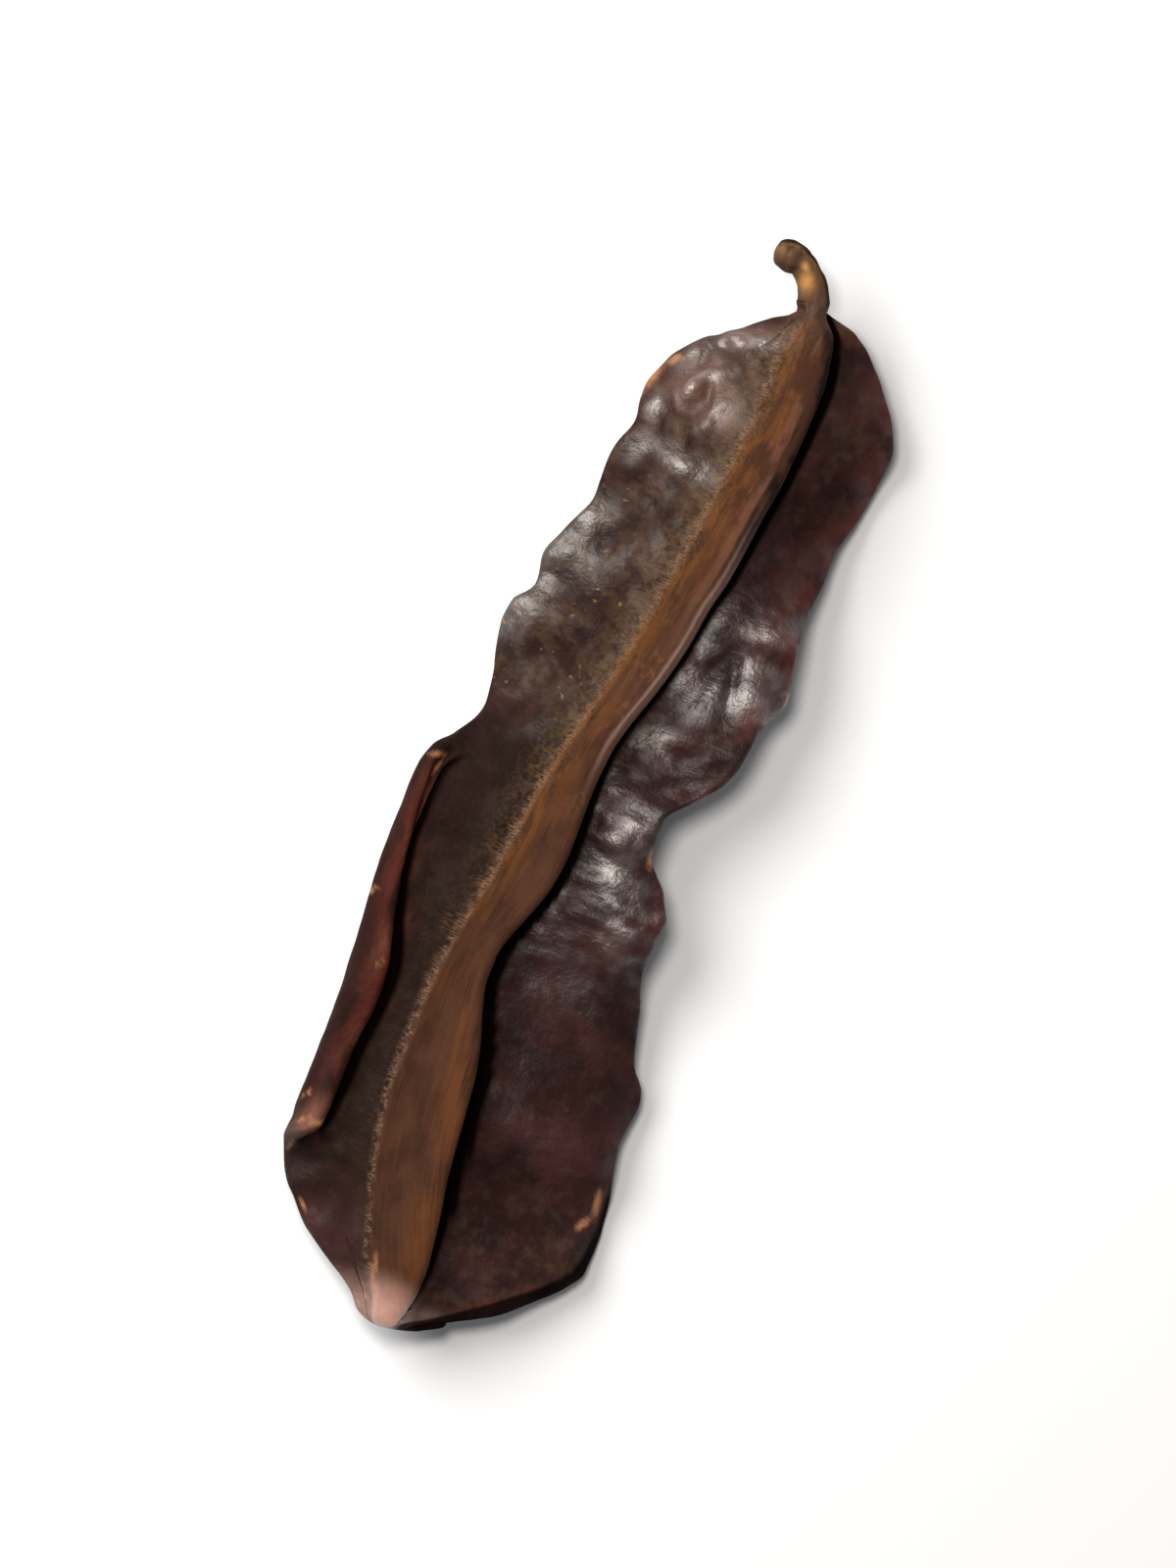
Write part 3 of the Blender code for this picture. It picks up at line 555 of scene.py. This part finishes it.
pale = (1 - ease(2.5, 11, y + 0.25 * np.abs(x + 2.5))) * (1 - ease(0.5, 4, x)) * (0.5 + 0.5 * ridge_share)
keep("tip", np.maximum(pale * ease(-0.2, 0.4, normal[..., 2]), 0.22 * touched(RUDDY_SPOTS)))
keep("around", girth - girth[:, creases[1], None])
keep("from_crease", from_crease)
keep("from_rim", from_rim)
keep("lip", upper_strip * ease(60, 130, curve(LEFT_TURN, y)) * ease(24, 28, y) * on_body)
keep("stalk", (1 - on_body) + ease(187, 193, y) * on_body * ease(14, 6, np.abs(x + 1)))
keep("worn", touched(WORN_SPOTS) * on_body * np.where(x < 0, 0.75, 1))
keep("patch", touched(STALK_PATCHES))
# Across the rolled margin: darker towards its outer side as painted shade, lighter towards its top as painted
# light.
lip_lit_side = ease(lip_edge - 5.2, lip_edge - 1.2, x)
keep("lip_lit_side", lip_lit_side)
keep("flushed", touched(FLUSHED_SPOTS) * np.where(x < -20, lip_lit_side, 1))
keep("along", y)
keep("across", x - curve(SPINE, y))
keep("raised", raised + 0.2 * folds)
keep("glow", np.exp(-((from_rim - curve(GLOW_MIDDLE, y)) / GLOW_WIDTH) ** 2) * ridges * curve(GLOW_SHARE, y))

pod = bpy.data.objects.new("pod_skin", mesh)
bpy.context.scene.collection.objects.link(pod)
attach(pod, "root")
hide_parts("aridan_pod")

# The husk's finish
# Dried skin: glossy purple-brown leather on the side wings, matt orange-brown fibre on the front wing, tan
# fibres in the crease beside it, dust and gold specks caught on the left wing and pale rubbed places. The
# shade where the wings and the rolled margin keep the light off the husk is painted in, almost black and
# matt.


class Wire:
    """One output of a node. Arithmetic on it adds Math nodes to the same material."""

    def __init__(self, tree, socket=None):
        self.tree = tree
        self.socket = socket

    def node(self, kind, settings=None, inputs=None, output=0):
        """Adds a node with its settings, gives its inputs values or wires, and returns one of its outputs."""
        new = self.tree.nodes.new(kind)
        for name, value in (settings or {}).items():
            setattr(new, name, value)
        for name, value in (inputs or {}).items():
            if isinstance(value, Wire):
                self.tree.links.new(value.socket, new.inputs[name])
            else:
                new.inputs[name].default_value = value
        return Wire(self.tree, new.outputs[output])

    def math(self, operation, *values):
        return self.node("ShaderNodeMath", {"operation": operation}, dict(enumerate(values)))

    def __add__(self, other):
        return self.math("ADD", self, other)

    def __sub__(self, other):
        return self.math("SUBTRACT", self, other)

    def __rsub__(self, other):
        return self.math("SUBTRACT", other, self)

    def __mul__(self, other):
        return self.math("MULTIPLY", self, other)

    __radd__, __rmul__ = __add__, __mul__

    def between(self, low, high):
        """Smooth rise from 0 at low to 1 at high, or a fall where high is the lower."""
        inputs = {"Value": self, "From Min": low, "From Max": high}
        return self.node("ShaderNodeMapRange", {"interpolation_type": "SMOOTHSTEP"}, inputs)

    def turns(self, first, second):
        """A colour that turns from the first into the second as this value goes from 0 to 1."""
        return self.node("ShaderNodeMix", {"data_type": "RGBA"}, {0: self, 6: first, 7: second}, 2)


finish = bpy.data.materials.new("pod_husk")
finish.use_nodes = True
wires = Wire(finish.node_tree)
spot = wires.node("ShaderNodeTexCoord", output="Object")


def kept(name):
    """A value stored on the skin's points."""
    return wires.node("ShaderNodeAttribute", {"attribute_name": name}, output="Fac")


along, across, out, rim = kept("along"), kept("across"), kept("from_crease"), kept("from_rim")
ridge, lip, stalk_share = kept("ridge"), kept("lip"), kept("stalk")
laid = wires.node("ShaderNodeCombineXYZ", inputs={0: kept("around") * MM, 1: along * MM})


def mottle(size, detail=2.0, at=spot, drawn=(1, 1, 1), shift=0.0):
    """Soft noise with lumps of a size in millimetres, drawn out along the axes, mostly from 0.3 to 0.7."""
    scale = tuple(1 / (MM * size * long) for long in drawn)
    inputs = {0: at, 1: scale, 2: (shift,) * 3}
    moved = wires.node("ShaderNodeVectorMath", {"operation": "MULTIPLY_ADD"}, inputs)
    return wires.node("ShaderNodeTexNoise", inputs={"Vector": moved, "Scale": 1, "Detail": detail})


DEEP = (0.0185, 0.0075, 0.007, 1)
PURPLE = (0.047, 0.017, 0.0175, 1)
RED = (0.085, 0.019, 0.015, 1)
UMBER = (0.028, 0.0145, 0.0095, 1)
SHADY = (0.0125, 0.0062, 0.0045, 1)
# the almost black colour of the painted shade
SHADED = (0.003, 0.0015, 0.0012, 1)
DUST = (0.086, 0.052, 0.031, 1)
GOLD = (0.26, 0.14, 0.065, 1)
FRONT_DARK = (0.040, 0.0165, 0.0095, 1)
FRONT_BROWN = (0.066, 0.0275, 0.0155, 1)
FRONT_ORANGE = (0.130, 0.046, 0.015, 1)
# the front wing's paler edge, partly a painted highlight
FRONT_RIM_HIGHLIGHT = (0.125, 0.056, 0.036, 1)
FLECK = (0.15, 0.075, 0.036, 1)
RUST = (0.150, 0.052, 0.012, 1)
# the painted shade on the front wing's upper edge
CREST_SHADE = (0.008, 0.005, 0.004, 1)
FUZZ = (0.120, 0.066, 0.026, 1)
TIP = (0.53, 0.285, 0.22, 1)
FIBRE = (0.19, 0.115, 0.055, 1)
HAIR = (0.20, 0.125, 0.080, 1)
FLUSH = (0.135, 0.044, 0.026, 1)
LIP_RED = (0.067, 0.0145, 0.0105, 1)
LIP_DARK = (0.017, 0.0063, 0.005, 1)
RUBBED = (0.42, 0.195, 0.10, 1)
STALK_TAN = (0.50, 0.25, 0.085, 1)
STALK_BROWN = (0.068, 0.038, 0.025, 1)
STALK_OLIVE = (0.225, 0.122, 0.056, 1)

leather = mottle(11, 3).between(0.36, 0.66).turns(DEEP, PURPLE)
umber = across.between(1, -3) * mottle(8, 3, shift=31).between(0.35, 0.6) * 0.8
leather = umber.turns(leather, UMBER)
reddened = (rim.between(10, 1) + 0.25) * mottle(7, 3, shift=4).between(0.42, 0.62) * across.between(-2, 2)
reddened = reddened * (along.between(100, 125) * 0.45 + along.between(24, 8) * 0.4 + 0.35)
leather = reddened.turns(leather, RED)
left = across.between(-1, -4)
dusty_length = along.between(98, 120) * along.between(186, 168)
dust = mottle(2.8, 5, shift=9).between(0.38, 0.64) * dusty_length * left
leather = (dust * 0.6).turns(leather, DUST)
cracks = mottle(2.4, 5, shift=73).between(0.50, 0.38) * dusty_length * left * 0.65
leather = cracks.turns(leather, DEEP)
near_ends = along.between(45, 25) * (1 - left * 0.8) + along.between(140, 160)
film = mottle(1.6, 4, shift=2).between(0.5, 0.72) * 0.12
film = film + mottle(3, 4, shift=59).between(0.48, 0.66) * near_ends * 0.3
leather = film.turns(leather, DUST)
quiet = left * along.between(118, 98) * along.between(14, 30) * (1 - lip)
leather = (quiet * (mottle(3, 5, shift=71).between(0.34, 0.62) * 0.5 + 0.5)).turns(leather, SHADY)
specks = mottle(0.95, 0, shift=13).between(0.69, 0.84) * left * mottle(9, 1, shift=6).between(0.46, 0.62)
specks = specks * along.between(98, 112) * along.between(168, 145) * 0.8
leather = specks.turns(leather, GOLD)
# Painted shade: the low places of the relief are turned towards the deep colour.
leather = (kept("raised").between(0.05, -0.5) * 0.75).turns(leather, DEEP)
rolled = mottle(3.2, 3, at=laid, drawn=(1, 4, 1), shift=3).between(0.36, 0.58)
# The rolled margin's mottled red, with the painted shade on its outer side and the painted light along its
# top.
rolled = (rolled * (kept("lip_lit_side") * 0.85 + 0.15)).turns(LIP_DARK, LIP_RED)
leather = lip.turns(leather, rolled)

# Redder margins; on the rolled margin's top they are partly a painted highlight.
flushed = mottle(1.8, 4, at=laid, drawn=(1, 3, 1), shift=83).between(0.34, 0.6) * 0.6 + 0.4
leather = (flushed * kept("flushed") * 0.85).turns(leather, FLUSH)

streaks = mottle(0.5, 1, at=laid, drawn=(1, 16, 1), shift=1)
blotches = mottle(5, 5, drawn=(1, 1.6, 1), shift=5)
fibrous = (streaks * 0.15 + blotches * 0.85).between(0.34, 0.60).turns(FRONT_DARK, FRONT_BROWN)
flecks = mottle(0.9, 4, drawn=(1, 1.6, 1), shift=41).between(0.48, 0.66)
flecks = flecks * mottle(6, 2, shift=43).between(0.35, 0.6)
fibrous = (flecks * along.between(75, 110) * 0.4).turns(fibrous, FLECK)
glow = kept("glow") * (streaks * 0.25 + mottle(7, 4, drawn=(1, 2, 1), shift=37) * 0.75).between(0.42, 0.58)
fibrous = (glow * 0.85).turns(fibrous, FRONT_ORANGE)
rusty = mottle(4, 4, drawn=(1, 2.4, 1), shift=47).between(0.44, 0.60) * out.between(9, 3)
fibrous = (rusty * along.between(45, 100) * 0.7).turns(fibrous, RUST)
grooves = mottle(0.8, 3, at=laid, drawn=(1, 14, 1), shift=53)
fibrous = (grooves.between(0.50, 0.34) * 0.25).turns(fibrous, FRONT_DARK)
fibrous = (grooves.between(0.56, 0.70) * 0.14).turns(fibrous, FLECK)
# The front wing's paler edge, partly a painted highlight: a light line along the edge and one just inside it.
crest = rim.between(1.9, 0.6) * along.between(85, 115) * along.between(160, 140) * 0.65
inner_crest_highlight = rim.between(4.8, 3.8) * rim.between(2.2, 3.2) * along.between(118, 145) * 0.55
fibrous = (crest + inner_crest_highlight).turns(fibrous, FRONT_RIM_HIGHLIGHT)
# Painted shade: the rounded right side of the front wing's upper edge turns almost black.
fibrous = (rim.between(3.0, 1.8) * along.between(135, 158)).turns(fibrous, CREST_SHADE)
burnt = mottle(3.4, 4, drawn=(1, 2, 1), shift=67).between(0.43, 0.60) * along.between(120, 165) * 0.85
fibrous = burnt.turns(fibrous, FRONT_DARK)

husk = ridge.between(0.3, 0.7).turns(leather, fibrous)
husk = (kept("tip") * (mottle(2.2, 4, shift=57) * 0.7 + 0.55)).turns(husk, TIP)
fuzz = out.between(8, 0.5) * mottle(0.8, 4, shift=61).between(0.42, 0.62) * along.between(50, 125) * 0.5
husk = fuzz.turns(husk, FUZZ)
hairs = mottle(0.27, 1, at=laid, drawn=(7, 1, 1), shift=8).between(0.44, 0.70)
fringe = out.between(5.2, 0.4) * hairs * mottle(3.4, 4, shift=11).between(0.40, 0.62)
fringe = fringe * (along.between(35, 85) * 0.8 + 0.2)
husk = (fringe * 0.5).turns(husk, FIBRE)
breaks = mottle(1.7, 4, shift=79).between(0.34, 0.56)
line = mottle(0.33, 3, at=laid, drawn=(3, 1, 1), shift=7).between(0.36, 0.62)
line = line * out.between(1.5, 0.1) * breaks * 0.75
husk = line.turns(husk, HAIR)
rubbed = (kept("worn") * 1.1 + (mottle(1.2, 4, shift=15) - 0.5) * 0.6).between(0.15, 1.1)
husk = (rubbed * kept("worn").between(0.02, 0.3)).turns(husk, RUBBED)
wood = mottle(2.4, 4, drawn=(1, 1.8, 1), shift=17).between(0.36, 0.66).turns(STALK_BROWN, STALK_OLIVE)
wood = (along.between(199.5, 197) * 0.85).turns(wood, STALK_BROWN)
wood = (kept("patch") * 0.9).turns(wood, STALK_TAN)
husk = stalk_share.turns(husk, wood)

high = kept("raised").between(-0.2, 0.35)
patchy = mottle(3.5, 5, shift=19).between(0.36, 0.62)
polish = (high * 0.85 + 0.15) * (patchy * 0.8 + 0.2) * kept("sheen") * 0.7
rubbed_shiny = kept("glossy") * (high * 0.5 + 0.5) * (patchy * 0.5 + 0.5)
polish = wires.math("MAXIMUM", polish, rubbed_shiny)
rough = 0.74 - high * 0.10 + ridge.between(0.3, 0.8) * 0.08 + dust * 0.10
rough = rough + (mottle(2.5, 4, shift=19) - 0.5) * 0.3
shiny_crest = rim.between(2.0, 0.6) * ridge * along.between(90, 125) * along.between(160, 140) * 0.15
polish = polish * (1 - ridge) + shiny_crest + kept("tip") * (1 - lip) * 0.5

pores = mottle(0.55, 3, shift=21) * 0.11 + mottle(1.6, 3, shift=23) * 0.26
cross_lines = mottle(0.7, 3, at=spot, drawn=(6, 1, 6), shift=27) * 0.12 * across.between(1, 4)
ribs_height = mottle(0.7, 2, at=laid, drawn=(8, 1, 1), shift=25) * 0.16 * out.between(6, 1)
streak_height = (streaks * 0.1 + grooves * 0.12) * ridge
height = pores * (1.15 - ridge * 0.6) + cross_lines * (1 - ridge) + ribs_height + streak_height
height = height + (fringe + line) * 0.05
bump = wires.node("ShaderNodeBump", inputs={"Strength": 1, "Distance": MM, "Height": height})
SATIN, SATIN_IOR = 0.46, 2.9  # roughness and index of the polished film, which stands for its strong shine
shader = finish.node_tree.nodes["Principled BSDF"]
for name, wire in (("Base Color", husk), ("Roughness", rough), ("Coat Weight", polish), ("Normal", bump)):
    finish.node_tree.links.new(wire.socket, shader.inputs[name])
shader.inputs["Specular IOR Level"].default_value = 0.06
shader.inputs["Coat Roughness"].default_value = SATIN
satin_inputs = {"Base Color": husk, "Roughness": SATIN, "IOR": SATIN_IOR, "Normal": bump}
satin = wires.node("ShaderNodeBsdfPrincipled", inputs=satin_inputs)
shade_inputs = {"Base Color": SHADED, "Roughness": 1, "Specular IOR Level": 0}
shade = wires.node("ShaderNodeBsdfPrincipled", inputs=shade_inputs)
dry = Wire(finish.node_tree, shader.outputs[0])
# Painted shade: where the stored mask is strong, an almost black matt shader takes over from the husk.
painted_shade = kept("painted_shade")
not_dry = polish + painted_shade - polish * painted_shade
shade_part = wires.math("DIVIDE", painted_shade, not_dry)
rest = wires.node("ShaderNodeMixShader", inputs={0: shade_part, 1: satin, 2: shade})
surface = wires.node("ShaderNodeMixShader", inputs={0: not_dry, 1: dry, 2: rest})
finish.node_tree.links.new(surface.socket, finish.node_tree.nodes["Material Output"].inputs["Surface"])
mesh.materials.append(finish)

# The floor
# A plain near-white sheet under the pod, a little blue so that it looks neutral under the warm lamps.
FLOOR = 3.0
PAPER = (0.87, 0.92, 0.97, 1)
floor_mesh = bpy.data.meshes.new("floor")
corners = [(-FLOOR, -FLOOR, 0), (FLOOR, -FLOOR, 0), (FLOOR, FLOOR, 0), (-FLOOR, FLOOR, 0)]
floor_mesh.from_pydata(corners, [], [range(4)])
floor = bpy.data.objects.new("floor", floor_mesh)
bpy.context.scene.collection.objects.link(floor)
paper = bpy.data.materials.new("floor_paper")
paper.use_nodes = True
for name, value in (("Base Color", PAPER), ("Roughness", 1), ("Specular IOR Level", 0)):
    paper.node_tree.nodes["Principled BSDF"].inputs[name].default_value = value
floor_mesh.materials.append(paper)

# The lamps and the room
# A small soft lamp nearly overhead, a little to the upper left, gives the satin highlights. A large one
# lower on the left gives the wide soft shadow on the right, and a pale room fills in the rest.
LAMPS = (
    ("small_lamp", 140, 9, 0.95, 0.2, 4.4, (1, 0.9, 0.81)),
    ("large_lamp", 165, 40, 0.9, 0.6, 8.0, (1, 0.94, 0.88)),
)  # heading and tilt in degrees, distance and size in metres, watts and colour
ROOM_COLOUR, ROOM = (1, 0.97, 0.94, 1), 0.2
for name, heading, tilt, distance, size, power, colour in LAMPS:
    lamp = bpy.data.objects.new(name, bpy.data.lights.new(name, "AREA"))
    lamp.data.shape = "DISK"
    lamp.data.size = size
    lamp.data.energy = power
    lamp.data.color = colour
    aside = distance * sin(radians(tilt))
    height = distance * cos(radians(tilt))
    lamp.location = (aside * cos(radians(heading)), aside * sin(radians(heading)), height)
    lamp.rotation_euler = lamp.location.to_track_quat("Z", "Y").to_euler()
    bpy.context.scene.collection.objects.link(lamp)
room = bpy.data.worlds.new("room")
room.use_nodes = True
room.node_tree.nodes["Background"].inputs["Color"].default_value = ROOM_COLOUR
room.node_tree.nodes["Background"].inputs["Strength"].default_value = ROOM
bpy.context.scene.world = room

# The camera
# Straight above the pod and turned so that the pod leans as in the photograph, far off with a long lens.
CAMERA_TURN = radians(22.5)
CAMERA_HEIGHT = 2.0
VIEW_MIDDLE = (-5.1, 100.45)
VIEW_HEIGHT = 0.272
camera = bpy.data.objects.new("camera", bpy.data.cameras.new("camera"))
camera.data.sensor_width = 36
camera.data.lens = camera.data.sensor_width * (CAMERA_HEIGHT - CORE_ABOVE_TABLE * MM) / VIEW_HEIGHT
camera.location = (*((np.array(VIEW_MIDDLE) + place[:2]) * MM), CAMERA_HEIGHT)
camera.rotation_euler = (0, 0, CAMERA_TURN)
bpy.context.scene.collection.objects.link(camera)
bpy.context.scene.camera = camera
bpy.context.scene.view_settings.view_transform = "Standard"
